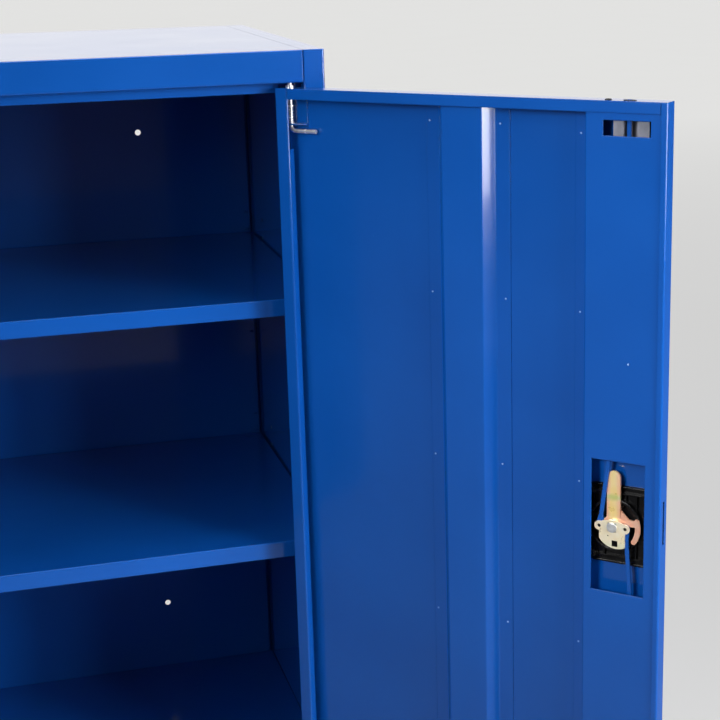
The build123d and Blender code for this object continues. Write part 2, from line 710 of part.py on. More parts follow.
with BuildPart() as bracket:
    door_box(BRACKET_U, (SHEET, 2 * SHEET), (bracket_low, bracket_top))
    fillet(bracket.edges().filter_by(INWARD), radius=BEND)
    with BuildSketch(DOOR.offset(tab_low)):
        with BuildLine():
            Polyline(
                (BRACKET_U[1], SHEET),
                (BRACKET_U[1], PIN_H),
                (PIN_U, PIN_H + 2 * PIN_R),
                (PIN_U - 2 * PIN_R, PIN_H + 2 * PIN_R),
                (PIN_U - 2 * PIN_R, SHEET),
                close=True,
            )
        make_face()
        with Locations((PIN_U, PIN_H)):
            Circle(PIN_R + PIN_FIT, mode=Mode.SUBTRACT)
    extrude(amount=2 * SHEET)
save_pair(bracket.part, "left_hinge_bracket", "right_hinge_bracket", BLUE)

with BuildPart() as pin_washer:
    with BuildSketch(DOOR.offset(DOOR_HIGH)):
        with Locations((PIN_U, PIN_H)):
            Circle(WASHER_R)
            Circle(PIN_R + PIN_FIT, mode=Mode.SUBTRACT)
    extrude(amount=WASHER_T)
save_pair(pin_washer.part, "left_hinge_washer", "right_hinge_washer", STEEL)

# ---------------------------------------------------------------- bottom pivots
with BuildPart() as pivot_pins:
    for side in (-1, 1):
        with Locations((side * PIN_X, PIN_Y, PLINTH_H - SHEET - PIVOT_TAIL)):
            Cylinder(PIVOT_HEAD_R, PIVOT_TAIL, align=(Align.CENTER, Align.CENTER, Align.MIN))
            Cylinder(
                PIN_R, PIVOT_TAIL + SHEET + PIVOT_REACH, align=(Align.CENTER, Align.CENTER, Align.MIN)
            )
    chamfer(pivot_pins.edges().group_by(Axis.Z)[-1], length=PIN_R * 0.3)
save(pivot_pins.part, "bottom_pivot_pins", STEEL)

with BuildPart() as pivot_washers:
    with BuildSketch(Plane.XY.offset(PLINTH_H)):
        with Locations((-PIN_X, PIN_Y), (PIN_X, PIN_Y)):
            Circle(WASHER_R)
            Circle(PIN_R + PIN_FIT, mode=Mode.SUBTRACT)
    extrude(amount=DOOR_BOTTOM_GAP - PIN_FIT)
save(pivot_washers.part, "bottom_pivot_washers", NYLON)


# ---------------------------------------------------------------- three-point lock, right door
def save_right(part, name, color):
    """Writes the right door's copy of a piece modelled on the left door."""
    save(mirror(part, about=Plane.YZ), name, color)


def lock_disc(radius, low, high, mode=Mode.ADD):
    """A disc of the open part about the lock axis, between two heights."""
    with BuildSketch(door_face(high)) as outline:
        with Locations((LOCK_U, LOCK_Z)):
            Circle(radius)
    extrude(outline.sketch, amount=high - low, mode=mode)


def lock_square(size, low, high, mode=Mode.ADD):
    """A square bar or hole of the open part about the lock axis, between two heights."""
    with BuildSketch(door_face(high)) as outline:
        with Locations((LOCK_U, LOCK_Z)):
            Rectangle(size, size)
    extrude(outline.sketch, amount=high - low, mode=mode)


def screw_discs(radius, low, high, mode=Mode.ADD):
    """Discs of the open part about the lock's three screws, between two heights."""
    with BuildSketch(door_face(high)) as outline:
        with Locations(*[(LOCK_U + u, LOCK_Z + z) for u, z in LOCK_SCREWS]):
            Circle(radius)
    extrude(outline.sketch, amount=high - low, mode=mode)


housing_low = SHEET + HOUSING_T * HOUSING_STEP
housing_top = SHEET + HOUSING_T
with BuildPart() as housing:
    with BuildSketch(door_face(housing_low)):
        with Locations((sum(HOUSING_U) / 2, LOCK_Z)):
            RectangleRounded(HOUSING_U[1] - HOUSING_U[0], HOUSING_H, HOUSING_ROUND)
    extrude(amount=housing_low - SHEET)
    lock_disc(COLLAR_R, SHEET, housing_top)
    lock_disc(COLLAR_R - COLLAR_WALL, housing_low, housing_top, Mode.SUBTRACT)
    lock_disc(SPINDLE_R + COLLAR_WALL, SHEET, housing_top)
    lock_disc(SPINDLE_R + LOCK_FIT, SHEET, housing_top, Mode.SUBTRACT)
    screw_discs(SCREW_R + PIN_FIT, SHEET, housing_top, Mode.SUBTRACT)
save_right(housing.part, "lock_housing", BLACK)

with BuildPart() as escutcheon:
    with BuildSketch(door_face(0)):
        with Locations((LOCK_U, LOCK_Z)):
            SlotOverall(ESCUTCHEON_H, 2 * ESCUTCHEON_R, rotation=90)
    extrude(amount=ESCUTCHEON_T)
    fillet(escutcheon.edges().group_by(INWARD)[0], radius=ESCUTCHEON_ROUND)
    lock_disc(SPINDLE_R + LOCK_FIT, -ESCUTCHEON_T, 0, Mode.SUBTRACT)
    screw_discs(SCREW_R + PIN_FIT, -SCREW_GRIP, 0, Mode.SUBTRACT)
save_right(escutcheon.part, "lock_escutcheon", BLACK)

with BuildPart() as lock_screws:
    screw_discs(SCREW_R, -SCREW_GRIP + GAP, housing_low)
    screw_discs(2 * SCREW_R, housing_low, housing_low + SCREW_HEAD_T)
    fillet(lock_screws.edges().group_by(INWARD)[-1], radius=SCREW_HEAD_T / 2)
save_right(lock_screws.part, "lock_screws", STEEL)

knob_inner = -ESCUTCHEON_T - KNOB_CLEAR
knob_outer = knob_inner - KNOB_T
grip_outer = knob_outer - GRIP_T
key_floor = grip_outer + KEY_DEPTH
with BuildPart() as knob:
    lock_disc(KNOB_R, knob_outer, knob_inner)
    fillet(knob.edges().group_by(INWARD)[0], radius=KNOB_ROUND)
    with BuildSketch(door_face(knob_outer + KNOB_T / 2)):
        with Locations((LOCK_U, LOCK_Z)):
            SlotOverall(GRIP_L, GRIP_W)
    extrude(amount=GRIP_T + KNOB_T / 2)
    fillet(knob.edges().group_by(INWARD)[0], radius=GRIP_ROUND)
    lock_disc(KEY_R + LOCK_FIT, grip_outer, key_floor, Mode.SUBTRACT)
    lock_square(SPINDLE_SQUARE + 2 * LOCK_FIT, key_floor + KEY_BACK, knob_inner, Mode.SUBTRACT)
save_right(knob.part, "lock_knob", BLACK)

with BuildPart() as key_plug:
    lock_disc(KEY_R, grip_outer - KEY_PROUD, key_floor - LOCK_FIT)
    with BuildSketch(door_face(grip_outer - KEY_PROUD + KEYWAY[2])):
        with Locations((LOCK_U, LOCK_Z)):
            Rectangle(KEYWAY[0], KEYWAY[1])
    extrude(amount=KEYWAY[2], mode=Mode.SUBTRACT)
    chamfer(key_plug.edges().group_by(INWARD)[0].filter_by(GeomType.CIRCLE), length=KEY_PROUD / 2)
save_right(key_plug.part, "key_plug", STEEL)

tongue_top = TONGUE_FLOOR + TONGUE_T
cam_top = CAM_FLOOR + CAM_T
with BuildPart() as spindle:
    lock_square(SPINDLE_SQUARE, key_floor + KEY_BACK + LOCK_FIT, cam_top - RIVET_NECK[1])
    lock_disc(RIVET_NECK[0], cam_top - RIVET_NECK[1], cam_top)
    lock_disc(SPINDLE_R, -ESCUTCHEON_T, TONGUE_FLOOR)
    lock_disc(RIVET_R, cam_top, cam_top + RIVET_T)
    fillet(spindle.edges().group_by(INWARD)[-1], radius=RIVET_T / 2)
save_right(spindle.part, "lock_spindle", STEEL)

# The tongue: a round-ended strap with a curved hook arm on the closing side of its hub.
with BuildPart() as tongue:
    with BuildSketch(door_face(tongue_top)):
        with Locations((LOCK_U, LOCK_Z)):
            Circle(HUB_R)
            with Locations((0, (TONGUE_REACH - TONGUE_W / 2) / 2)):
                Rectangle(TONGUE_W, TONGUE_REACH - TONGUE_W / 2)
            with Locations((0, TONGUE_REACH - TONGUE_W / 2)):
                Circle(TONGUE_W / 2)
        with BuildLine():
            hook_mid = (HOOK_R[0] + HOOK_R[1]) / 2
            CenterArc((LOCK_U, LOCK_Z), hook_mid, HOOK_FROM, HOOK_SWEEP)
            offset(amount=(HOOK_R[1] - HOOK_R[0]) / 2)
        make_face()
        with BuildLine():
            arm = [
                (LOCK_U + radius * cos(radians(angle)), LOCK_Z + radius * sin(radians(angle)))
                for radius, angle in (
                    (HUB_R * 0.6, HOOK_FROM + HOOK_SWEEP - HOOK_ROOT),
                    (hook_mid, HOOK_FROM + HOOK_SWEEP - HOOK_ROOT),
                    (hook_mid + 1, HOOK_FROM + HOOK_SWEEP),
                    (HOOK_WEB[0], HOOK_FROM + HOOK_SWEEP + HOOK_ROOT),
                    (HOOK_WEB[1], HOOK_FROM + HOOK_SWEEP + 4 * HOOK_ROOT),
                )
            ]
            Polyline(*arm, close=True)
        make_face()
    extrude(amount=TONGUE_T)
    lock_square(SPINDLE_SQUARE + 2 * LOCK_FIT, TONGUE_FLOOR, tongue_top, Mode.SUBTRACT)
save_right(tongue.part, "lock_tongue", ZINC)

# The spacer keeps the cam plate off the tongue, and leaves the rods their level between them.
with BuildPart() as spacer:
    lock_disc(SPACER_R, tongue_top, CAM_FLOOR)
    lock_square(SPINDLE_SQUARE + 2 * LOCK_FIT, tongue_top, CAM_FLOOR, Mode.SUBTRACT)
save_right(spacer.part, "lock_spacer", STEEL)

with BuildPart() as cam_plate:
    with BuildSketch(door_face(cam_top)):
        with Locations((LOCK_U, LOCK_Z)):
            with Locations((CAM_SHIFT, 0)):
                Circle(CAM_R)
            with Locations((0, CAM_R)):
                Rectangle(3 * CAM_R, 2 * CAM_R, mode=Mode.SUBTRACT)
            for side in (-1, 1):
                with Locations((side * (CAM_HALF_W + CAM_R), -CAM_R / 2)):
                    Rectangle(2 * CAM_R, CAM_R, mode=Mode.SUBTRACT)
            SlotOverall(2 * (EAR_R + EAR_END_R), 2 * EAR_END_R)
            with Locations((0, EAR_END_R / 2)):
                Ellipse(EAR_R, EAR_END_R)
            with Locations((-EAR_R, 0), (EAR_R, 0)):
                Circle(EAR_HOLE_R, mode=Mode.SUBTRACT)
            with Locations((-CAM_DOT[0], -CAM_DOT[1])):
                Circle(CAM_DOT[2], mode=Mode.SUBTRACT)
            with Locations((CAM_NOTCH[0], -CAM_NOTCH[1])):
                Rectangle(CAM_NOTCH[2], CAM_NOTCH[2], mode=Mode.SUBTRACT)
            Rectangle(SPINDLE_SQUARE + 2 * LOCK_FIT, SPINDLE_SQUARE + 2 * LOCK_FIT, mode=Mode.SUBTRACT)
    extrude(amount=CAM_T)
save_right(cam_plate.part, "cam_plate", ZINC)

# The rods: flat bars that hang on the cam plate's ears and leave through the door's ends.
rod_top = ROD_FLOOR + ROD_T
for name, ear_u, lean, way, end in (
    ("upper_rod", LOCK_U - EAR_R, ROD_LEAN[0], 1, DOOR_HIGH),
    ("lower_rod", LOCK_U + EAR_R, ROD_LEAN[1], -1, DOOR_LOW),
):
    ear = (ear_u, LOCK_Z)
    knee = (ear_u + lean, LOCK_Z + way * ROD_KNEE[0])
    bend = (ROD_U, LOCK_Z + way * ROD_KNEE[1])
    tip = end + way * ROD_PROUD
    with BuildPart() as rod:
        with BuildSketch(door_face(rod_top)):
            with BuildLine():
                FilletPolyline(ear, knee, bend, (ROD_U, tip), radius=ROD_BEND)
                offset(amount=ROD_W / 2, side=Side.BOTH)
            make_face()
            with Locations((ROD_U, tip + way * ROD_W)):
                Rectangle(2 * ROD_W, 2 * ROD_W, mode=Mode.SUBTRACT)
        extrude(amount=ROD_T)
        with BuildSketch(door_face(rod_top)):
            with Locations(ear):
                Circle(ROD_END_R)
            with Locations((ear[0] + lean * ROD_TAPER / ROD_KNEE[0], LOCK_Z + way * ROD_TAPER)):
                Circle(ROD_W / 2)
            make_hull()
        extrude(amount=ROD_T)
        with BuildSketch(door_face(cam_top - ROD_STUB_BELOW)):
            with Locations(ear):
                Circle(EAR_HOLE_R - PIN_FIT)
        extrude(amount=cam_top - ROD_STUB_BELOW - rod_top)
    save_right(rod.part, name, BLUE)

# Rod guides: nylon blocks screwed under the door's end returns.
for name, end, way in (("upper_rod_guide", DOOR_HIGH, -1), ("lower_rod_guide", DOOR_LOW, 1)):
    seat = end + way * SHEET
    with BuildPart() as guide:
        door_box(GUIDE_U, GUIDE_T, sorted((seat, seat + way * GUIDE_L)))
        door_box((GUIDE_FOOT_U, GUIDE_U[1]), GUIDE_T, sorted((seat, seat + way * GUIDE_FOOT_T)))
        door_box(
            GUIDE_SLOT_U,
            (GUIDE_SLOT_FLOOR, GUIDE_T[1]),
            sorted((seat, seat + way * GUIDE_L)),
            Mode.SUBTRACT,
        )
        with BuildSketch(DOOR.offset(min(seat, seat + way * GUIDE_FOOT_T))):
            with Locations((GUIDE_SCREW_U, rod_mid_h)):
                Circle(SCREW_R + PIN_FIT)
        extrude(amount=GUIDE_FOOT_T, mode=Mode.SUBTRACT)
    save_right(guide.part, name, NYLON)

with BuildPart() as rod_bushes:
    for low in (DOOR_HIGH - SHEET, DOOR_LOW - BUSH_PROUD):
        with BuildSketch(DOOR.offset(low)):
            with Locations((slot_mid_u, rod_mid_h)):
                SlotOverall(slot_len_u + 2 * SHEET - 2 * PIN_FIT, ROD_SLOT_H + 2 * SHEET - 2 * PIN_FIT)
                SlotOverall(slot_len_u, ROD_SLOT_H, mode=Mode.SUBTRACT)
        extrude(amount=SHEET + BUSH_PROUD)
save_right(rod_bushes.part, "rod_bushes", BLACK)

with BuildPart() as guide_screws:
    for end, way in ((DOOR_HIGH, 1), (DOOR_LOW, -1)):
        with BuildSketch(DOOR.offset(min(end, end - way * GUIDE_FOOT_T))):
            with Locations((GUIDE_SCREW_U, rod_mid_h)):
                Circle(SCREW_R)
        extrude(amount=GUIDE_FOOT_T)
        with BuildSketch(DOOR.offset(min(end, end + way * BUSH_PROUD))):
            with Locations((GUIDE_SCREW_U, rod_mid_h)):
                Circle(SCREW_R * 1.8)
        extrude(amount=BUSH_PROUD)
save_right(guide_screws.part, "guide_screws", STEEL)
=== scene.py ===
from math import cos, pi, radians, sin

import bmesh
import bpy
import numpy as np
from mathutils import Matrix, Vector


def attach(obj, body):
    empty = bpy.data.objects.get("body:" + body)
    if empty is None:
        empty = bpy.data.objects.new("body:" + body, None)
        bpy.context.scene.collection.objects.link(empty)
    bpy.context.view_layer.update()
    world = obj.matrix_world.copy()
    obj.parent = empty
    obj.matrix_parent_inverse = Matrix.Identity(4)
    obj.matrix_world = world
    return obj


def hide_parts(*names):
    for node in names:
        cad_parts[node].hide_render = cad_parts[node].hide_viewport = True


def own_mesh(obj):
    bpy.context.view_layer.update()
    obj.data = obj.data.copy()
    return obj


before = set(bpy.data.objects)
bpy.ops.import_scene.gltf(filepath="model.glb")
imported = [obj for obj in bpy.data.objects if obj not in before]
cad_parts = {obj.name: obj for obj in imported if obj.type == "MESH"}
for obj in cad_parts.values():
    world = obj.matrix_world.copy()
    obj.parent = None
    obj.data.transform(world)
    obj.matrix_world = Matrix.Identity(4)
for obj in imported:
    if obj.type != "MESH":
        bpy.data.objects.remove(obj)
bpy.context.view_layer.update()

# ---------------------------------------------------------------- side panels
# The two sides: 1 mm steel sheet folded into a boxed column at the front, a flange at the
# rear and a foot on the floor.  Gloss blue powder coat all over, baked on after folding.
BLUE_DEEP = (0.0020, 0.0740, 0.3600, 1)
BLUE_OPEN = (0.0026, 0.0820, 0.3900, 1)
NIB_BLUE = (0.0300, 0.1300, 0.4600, 1)
NIB_SHARE = 0.6  # how far a nib's colour goes to the pale blue
EDGE_ROUND = 0.0016  # the coat's rounding over the sheet's edges
PEEL_SIZE = 620  # swells per metre of the coat's orange peel
PEEL_HEIGHT = 0.000012
SHEET_WAVE = 5  # slow waves per metre, from rolling and folding the sheet
HAZE_SIZE = 9  # clouds per metre left by handling
RUB_SIZE = (7, 7, 22)  # rubbed clouds per metre along each axis
NIB_SIZE = 31  # specks of dust per metre
NIB_HEIGHT = 0.00006
NIB_CORE, NIB_RIM = 0.010, 0.022  # a nib's top and foot, in shares of its cell
COAT_SMOOTH, COAT_RUBBED = 0.15, 0.20  # roughness
COAT_GLOSS = 0.6
COAT_ROUGH = 0.06
SIDE_SAG = 0.0008  # height of the slow waves


class Socket:
    """An output in a shader's node tree; sums and products of it add Math nodes to the tree."""

    def __init__(self, tree, output):
        self.tree = tree
        self.output = output

    def node(self, kind, settings=None, inputs=None, output=0):
        """Adds a node of any type: its settings first, then the values or links of its sockets."""
        made = self.tree.nodes.new("ShaderNode" + kind)
        for name, value in (settings or {}).items():
            setattr(made, name, value)
        for name, value in (inputs or {}).items():
            if isinstance(value, Socket):
                self.tree.links.new(value.output, made.inputs[name])
            else:
                made.inputs[name].default_value = value
        return Socket(self.tree, made.outputs[output] if made.outputs else None)

    def math(self, operation, first, second):
        return self.node("Math", {"operation": operation}, {0: first, 1: second})

    def __add__(self, other):
        return self.math("ADD", self, other)

    def __sub__(self, other):
        return self.math("SUBTRACT", self, other)

    def __rsub__(self, other):
        return self.math("SUBTRACT", other, self)

    def __mul__(self, other):
        return self.math("MULTIPLY", self, other)

    def __abs__(self):
        return self.node("Math", {"operation": "ABSOLUTE"}, {0: self})

    __radd__ = __add__
    __rmul__ = __mul__


def finish(name, recipe, *amounts):
    """A material whose main shader gets its inputs from a recipe, worked out on Object coordinates."""
    material = bpy.data.materials.new(name)
    material.use_nodes = True
    tree = material.node_tree
    tree.nodes.clear()
    place = Socket(tree, None).node("TexCoord", output="Object")
    shader = place.node("BsdfPrincipled", inputs=recipe(place, *amounts))
    place.node("OutputMaterial", inputs={"Surface": shader})
    return material


def clouds(place, scale, detail=2.0):
    """Soft noise with that many swells per metre."""
    return place.node("TexNoise", inputs={"Vector": place, "Scale": scale, "Detail": detail})


def stretched(place, scale):
    """The same coordinates, with each axis multiplied by its own scale."""
    return place.node("Mapping", inputs={"Vector": place, "Scale": scale})


def spread(value, low, high, to_low, to_high):
    """A value's range from low to high, carried over to another range and held inside it."""
    inputs = {"Value": value, "From Min": low, "From Max": high, "To Min": to_low, "To Max": to_high}
    return value.node("MapRange", inputs=inputs)


def tint(share, first, second):
    """Two colours mixed by a share."""
    return share.node("Mix", {"data_type": "RGBA"}, {0: share, 6: first, 7: second}, 2)


def powder_coat(place, sag):
    """Blue gloss coat: orange peel, slow waves in the sheet, soft hazes of handling, a few nibs of
    dust, and edges that the coat rounds."""
    peel = clouds(place, PEEL_SIZE, 1.0)
    waves = clouds(place, SHEET_WAVE, 1.0)
    haze = clouds(place, HAZE_SIZE)
    rubbed = clouds(stretched(place, RUB_SIZE), 1.0)
    cells = place.node("TexVoronoi", inputs={"Vector": place, "Scale": NIB_SIZE})
    nibs = spread(cells, NIB_CORE, NIB_RIM, 1, 0)
    colour = tint(spread(haze, 0.3, 0.7, 0, 1), BLUE_DEEP, BLUE_OPEN)
    height = peel * PEEL_HEIGHT + waves * sag + nibs * NIB_HEIGHT
    edges = place.node("Bevel", {"samples": 4}, {"Radius": EDGE_ROUND})
    return {
        "Base Color": tint(nibs * NIB_SHARE, colour, NIB_BLUE),
        "Roughness": spread(haze * 0.5 + rubbed * 0.5, 0.3, 0.7, COAT_SMOOTH, COAT_RUBBED),
        "Coat Weight": COAT_GLOSS,
        "Coat Roughness": COAT_ROUGH,
        "Normal": place.node("Bump", inputs={"Height": height, "Distance": 1.0, "Normal": edges}),
    }


def dress(names, material):
    """Gives CAD nodes their finish and material slot."""
    for name in names:
        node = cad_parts[name]
        node.data.materials.clear()
        node.data.materials.append(material)


side_coat = finish("coat_on_sides", powder_coat, SIDE_SAG)
dress(["left_side_panel", "right_side_panel"], side_coat)

# ---------------------------------------------------------------- top and bottom panels
# The top sheet turns down over the front as the rail, and back as the door stop; the bottom
# sheet rises as the plinth and becomes the deck.  Strips are welded under the top's sides.
CROSS_SAG = 0.0006
cross_coat = finish("coat_on_top_and_bottom", powder_coat, CROSS_SAG)
dress(["top_panel", "top_side_strips", "bottom_panel"], cross_coat)

# ---------------------------------------------------------------- back panel
# One wide sheet with folded edges and beads, set between the sides; a big thin sheet, so it
# waves the most.  Holes for wall screws and slots for the shelf clips go through it.
BACK_SAG = 0.0012
back_coat = finish("coat_on_back", powder_coat, BACK_SAG)
dress(["back_panel"], back_coat)

# ---------------------------------------------------------------- shelves
# Two folded trays of 1 mm sheet, with their edges turned down and back; they are coated before
# they are hung on their clips.
SHELF_SAG = 0.0009
shelf_coat = finish("coat_on_shelves", powder_coat, SHELF_SAG)
dress(["upper_shelf", "lower_shelf"], shelf_coat)

# ---------------------------------------------------------------- shelf clips
# Eight small hooks, pressed from 1.5 mm sheet and bright zinc plated.  They are pushed into
# the slots by hand, and each carries a corner of a shelf.
STEEL_GREY = (0.66, 0.67, 0.68, 1)
STEEL_PALE = (0.86, 0.87, 0.87, 1)
ZINC_METAL = 0.72
PLATING_SIZE = 160  # clouds per metre in the plating
DRAWN_HEIGHT = 0.00001
CLOUDED = 0.14  # how much rougher the plating's dull clouds are
CLIP_ROUGH = 0.26
CLIP_LINES = (900, 900, 900)  # fine lines per metre along each axis


def bright_zinc(place, roughness, drawn):
    """Bright zinc on steel: pale clouds of plating over fine lines drawn in one direction."""
    plating = clouds(place, PLATING_SIZE, 3.0)
    lines = clouds(stretched(place, drawn), 1.0)
    return {
        "Base Color": tint(spread(plating, 0.35, 0.65, 0, 1), STEEL_GREY, STEEL_PALE),
        "Metallic": ZINC_METAL,
        "Roughness": spread(plating * 0.5 + lines * 0.5, 0.35, 0.65, roughness, roughness + CLOUDED),
        "Normal": place.node("Bump", inputs={"Height": lines * DRAWN_HEIGHT, "Distance": 1.0}),
    }


clip_zinc = finish("pressed_clip_zinc", bright_zinc, CLIP_ROUGH, CLIP_LINES)
dress(["shelf_clips"], clip_zinc)

# ---------------------------------------------------------------- doors
# Each door is a folded pan with lips all round, a hat-shaped stiffener and a channel along
# the closing edge, spot welded to its skin, and coated as one piece with them.
DOOR_SWING = radians(134.4)  # how far both doors stand open
HINGE_X, HINGE_Y = 0.4509, -0.007  # the right door's axis
PIN_U, PIN_H = 0.0111, 0.0055  # where the axis lies on the door, along it and inwards
U_X, U_Y = -cos(DOOR_SWING), -sin(DOOR_SWING)  # along the right door, from its hinge edge
H_X, H_Y = U_Y, -U_X  # inwards from its outer face
DOOR_SAG = 0.0011
FLANGE_H = 0.002  # height of the welded flanges over the outer face
WELD_TOP = 0.929
WELD_PITCH = 0.1865
WELD_COUNT = 5
WELD_ROWS = ((0.1857, 0, 0), (0.2721, 0.0026, 0), (0.3612, 0, 0.0058))  # u, stagger and drop
CHANNEL_WELD = (0.4226, 0.0195, 0.691)  # u, h and z of one that shows on the channel
WELD_MOUND = (0.0, -0.05), (1.15, -0.05), (1.15, 0.05), (0.95, 0.28), (0.60, 0.42), (0.0, 0.48)
# Painted highlight: both spot weld blues are far paler than the coat, for the bright glint on each weld.
WELD_HIGHLIGHT_DEEP = (0.05, 0.20, 0.60, 1)
WELD_HIGHLIGHT_PALE = (0.32, 0.50, 0.85, 1)
WELD_GRAIN = 1800  # grains per metre
WELD_GRAIN_H = 0.00002
MOUND_SIDES = 20
WELD_SMOOTH, WELD_ROUGH = 0.16, 0.28


def on_door(side, u, h, z):
    """Points of an open door, side 1 for the right one and -1 for the left: the hinge's axis plus
    the distances from it along the door and inwards, mirrored in x for the left door.  Both are
    measured from the door's outer hinge edge."""
    along = u - PIN_U
    depth = h - PIN_H
    x = side * (HINGE_X + U_X * along + H_X * depth)
    y = HINGE_Y + U_Y * along + H_Y * depth
    return np.stack(np.broadcast_arrays(x, y, z), axis=-1)


def inward(side):
    """The direction from an open door's outer face to its inner side."""
    return np.array((side * H_X, H_Y, 0.0))


def turned(radius, height, centre, axis, around=40):
    """A profile carried round an axis: the centre, plus each height along the axis, plus each
    radius times the cosine and sine of an angle that goes once round.  Profiles are columns."""
    axis = np.array(axis, float)
    first = np.cross(axis, (0, 0, 1) if abs(axis[2]) < 0.9 else (1, 0, 0))
    first /= np.linalg.norm(first)
    second = np.cross(axis, first)
    angle = np.linspace(0, 2 * pi, around + 1)
    radius = np.broadcast_to(radius, (len(radius), around + 1))[..., None]
    height = np.broadcast_to(height, (len(height), around + 1))[..., None]
    rim = np.cos(angle)[None, :, None] * first + np.sin(angle)[None, :, None] * second
    return np.array(centre) + height * axis + radius * rim


def profile(*rows):
    """Radius and height columns from (radius, height) pairs in millimetres."""
    rows = np.array(rows, float) / 1000
    return rows[:, :1], rows[:, 1:]


def piece(name, grids, material, body, sharp=35):
    """One mesh from grids of points: quads join each grid's neighbours, equal points merge,
    faces turn outwards, and edges turned by more than the sharp angle stay crisp."""
    first = 0
    quads = []
    for grid in grids:
        rows, columns = grid.shape[:2]
        number = first + np.arange(rows * columns).reshape(rows, columns)
        corners = (number[:-1, :-1], number[1:, :-1], number[1:, 1:], number[:-1, 1:])
        quads.append(np.stack(corners, axis=-1).reshape(-1, 4))
        first += rows * columns
    points = np.concatenate([grid.reshape(-1, 3) for grid in grids])
    mesh = bpy.data.meshes.new(name)
    mesh.from_pydata(points.tolist(), [], np.concatenate(quads).tolist())
    shell = bmesh.new()
    shell.from_mesh(mesh)
    bmesh.ops.remove_doubles(shell, verts=shell.verts, dist=0.000002)
    bmesh.ops.recalc_face_normals(shell, faces=shell.faces)
    for face in shell.faces:
        face.smooth = True
    for edge in shell.edges:
        edge.smooth = edge.calc_face_angle(0) < radians(sharp)
    shell.to_mesh(mesh)
    shell.free()
    mesh.materials.append(material)
    made = bpy.data.objects.new(name, mesh)
    bpy.context.scene.collection.objects.link(made)
    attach(made, body)
    return made


door_coat = finish("coat_on_doors", powder_coat, DOOR_SAG)
dress(["left_door_pan", "right_door_pan"], door_coat)
dress(["left_door_stiffener", "right_door_stiffener"], door_coat)
dress(["left_door_edge_channel", "right_door_lock_channel"], door_coat)


def weld_painted_highlight(place):
    """Painted highlight on a spot weld: pale blues, far paler than the coat about it, with fine grain."""
    grain = clouds(place, WELD_GRAIN)
    return {
        "Base Color": tint(spread(grain, 0.3, 0.7, 0, 1), WELD_HIGHLIGHT_DEEP, WELD_HIGHLIGHT_PALE),
        "Roughness": spread(grain, 0.3, 0.7, WELD_SMOOTH, WELD_ROUGH),
        "Coat Weight": COAT_GLOSS,
        "Normal": place.node("Bump", inputs={"Height": grain * WELD_GRAIN_H, "Distance": 1.0}),
    }


# The spot welds' pale blue is a painted highlight.
weld_highlight_coat = finish("painted_highlight_on_spot_welds", weld_painted_highlight)
for side, door in ((-1, "left_door"), (1, "right_door")):
    centres = []
    for number in range(WELD_COUNT):
        for u, stagger, drop in WELD_ROWS:
            z = WELD_TOP - WELD_PITCH * number - drop
            centres.append(on_door(side, u - stagger * (-1) ** number, FLANGE_H, z))
    centres.append(on_door(side, *CHANNEL_WELD))
    marks = [turned(*profile(*WELD_MOUND), centre, inward(side), MOUND_SIDES) for centre in centres]
    piece(door + "_weld_highlight_marks", marks, weld_highlight_coat, door)

# ---------------------------------------------------------------- marks on the side walls
# Painted shade in both walls, near the rear corner, two by each shelf: low near black blue discs,
# a little proud of the sheet, that stand for the dark openings of the shelf clips' slots.
SLOT_SHADE_LEVELS = (0.7395, 0.7145, 0.4395, 0.4145)
SLOT_SHADE_Y = 0.402
WALL_X = 0.489
SLOT_SHADE_DISC = (0, -0.05), (2.4, -0.05), (2.4, 0.06), (2.0, 0.12), (1.2, 0.10), (0, 0.06)
SLOT_SHADE_DEEP = (0.0005, 0.0050, 0.0300, 1)
SLOT_SHADE_OPEN = (0.0010, 0.0120, 0.0600, 1)
SLOT_SHADE_CLOUDS = 700  # per metre
SLOT_SHADE_SMOOTH, SLOT_SHADE_ROUGH = 0.3, 0.4


def painted_slot_shade(place):
    """Painted shade of a slot's dark opening: near black blue, with a little cloud in its gloss."""
    cloud = clouds(place, SLOT_SHADE_CLOUDS)
    return {
        "Base Color": tint(cloud, SLOT_SHADE_DEEP, SLOT_SHADE_OPEN),
        "Roughness": spread(cloud, 0.3, 0.7, SLOT_SHADE_SMOOTH, SLOT_SHADE_ROUGH),
    }


slot_shade_marks = [
    turned(*profile(*SLOT_SHADE_DISC), (side * WALL_X, SLOT_SHADE_Y, z), (-side, 0, 0), MOUND_SIDES)
    for side in (-1, 1)
    for z in SLOT_SHADE_LEVELS
]
# Near black painted shade where the wall's slots would show dark.
piece("wall_slot_shade_marks", slot_shade_marks, finish("painted_slot_shade_finish", painted_slot_shade), "cabinet")

# ---------------------------------------------------------------- meeting strip
# A folded strip of 1 mm sheet, welded behind the left door's closing edge and coated with it;
# it reaches behind the right door's edge when both are shut.
dress(["left_door_meeting_strip"], door_coat)

# ---------------------------------------------------------------- hinge brackets
# Folded plates welded behind the skin by each top corner and coated with it; their tab carries
# the hinge pin's spring.
dress(["left_hinge_bracket", "right_hinge_bracket"], door_coat)

# ---------------------------------------------------------------- hinge pins, clips and washers
# A 5 mm wire pin with a bent handle runs up through the door into the rail, held by a
# circlip; everything is bright zinc plated, and the handle's end is sheared and polished.
PIN_ROUGH = 0.14
PIN_LINES = (700, 700, 40)
WASHER_ROUGH = 0.2
WASHER_LINES = (500, 500, 500)
pin_zinc = finish("drawn_pin_zinc", bright_zinc, PIN_ROUGH, PIN_LINES)
dress(["left_hinge_pin", "right_hinge_pin"], pin_zinc)
washer_zinc = finish("stamped_washer_zinc", bright_zinc, WASHER_ROUGH, WASHER_LINES)
dress(["left_hinge_clip", "right_hinge_clip"], washer_zinc)
dress(["left_hinge_washer", "right_hinge_washer"], washer_zinc)

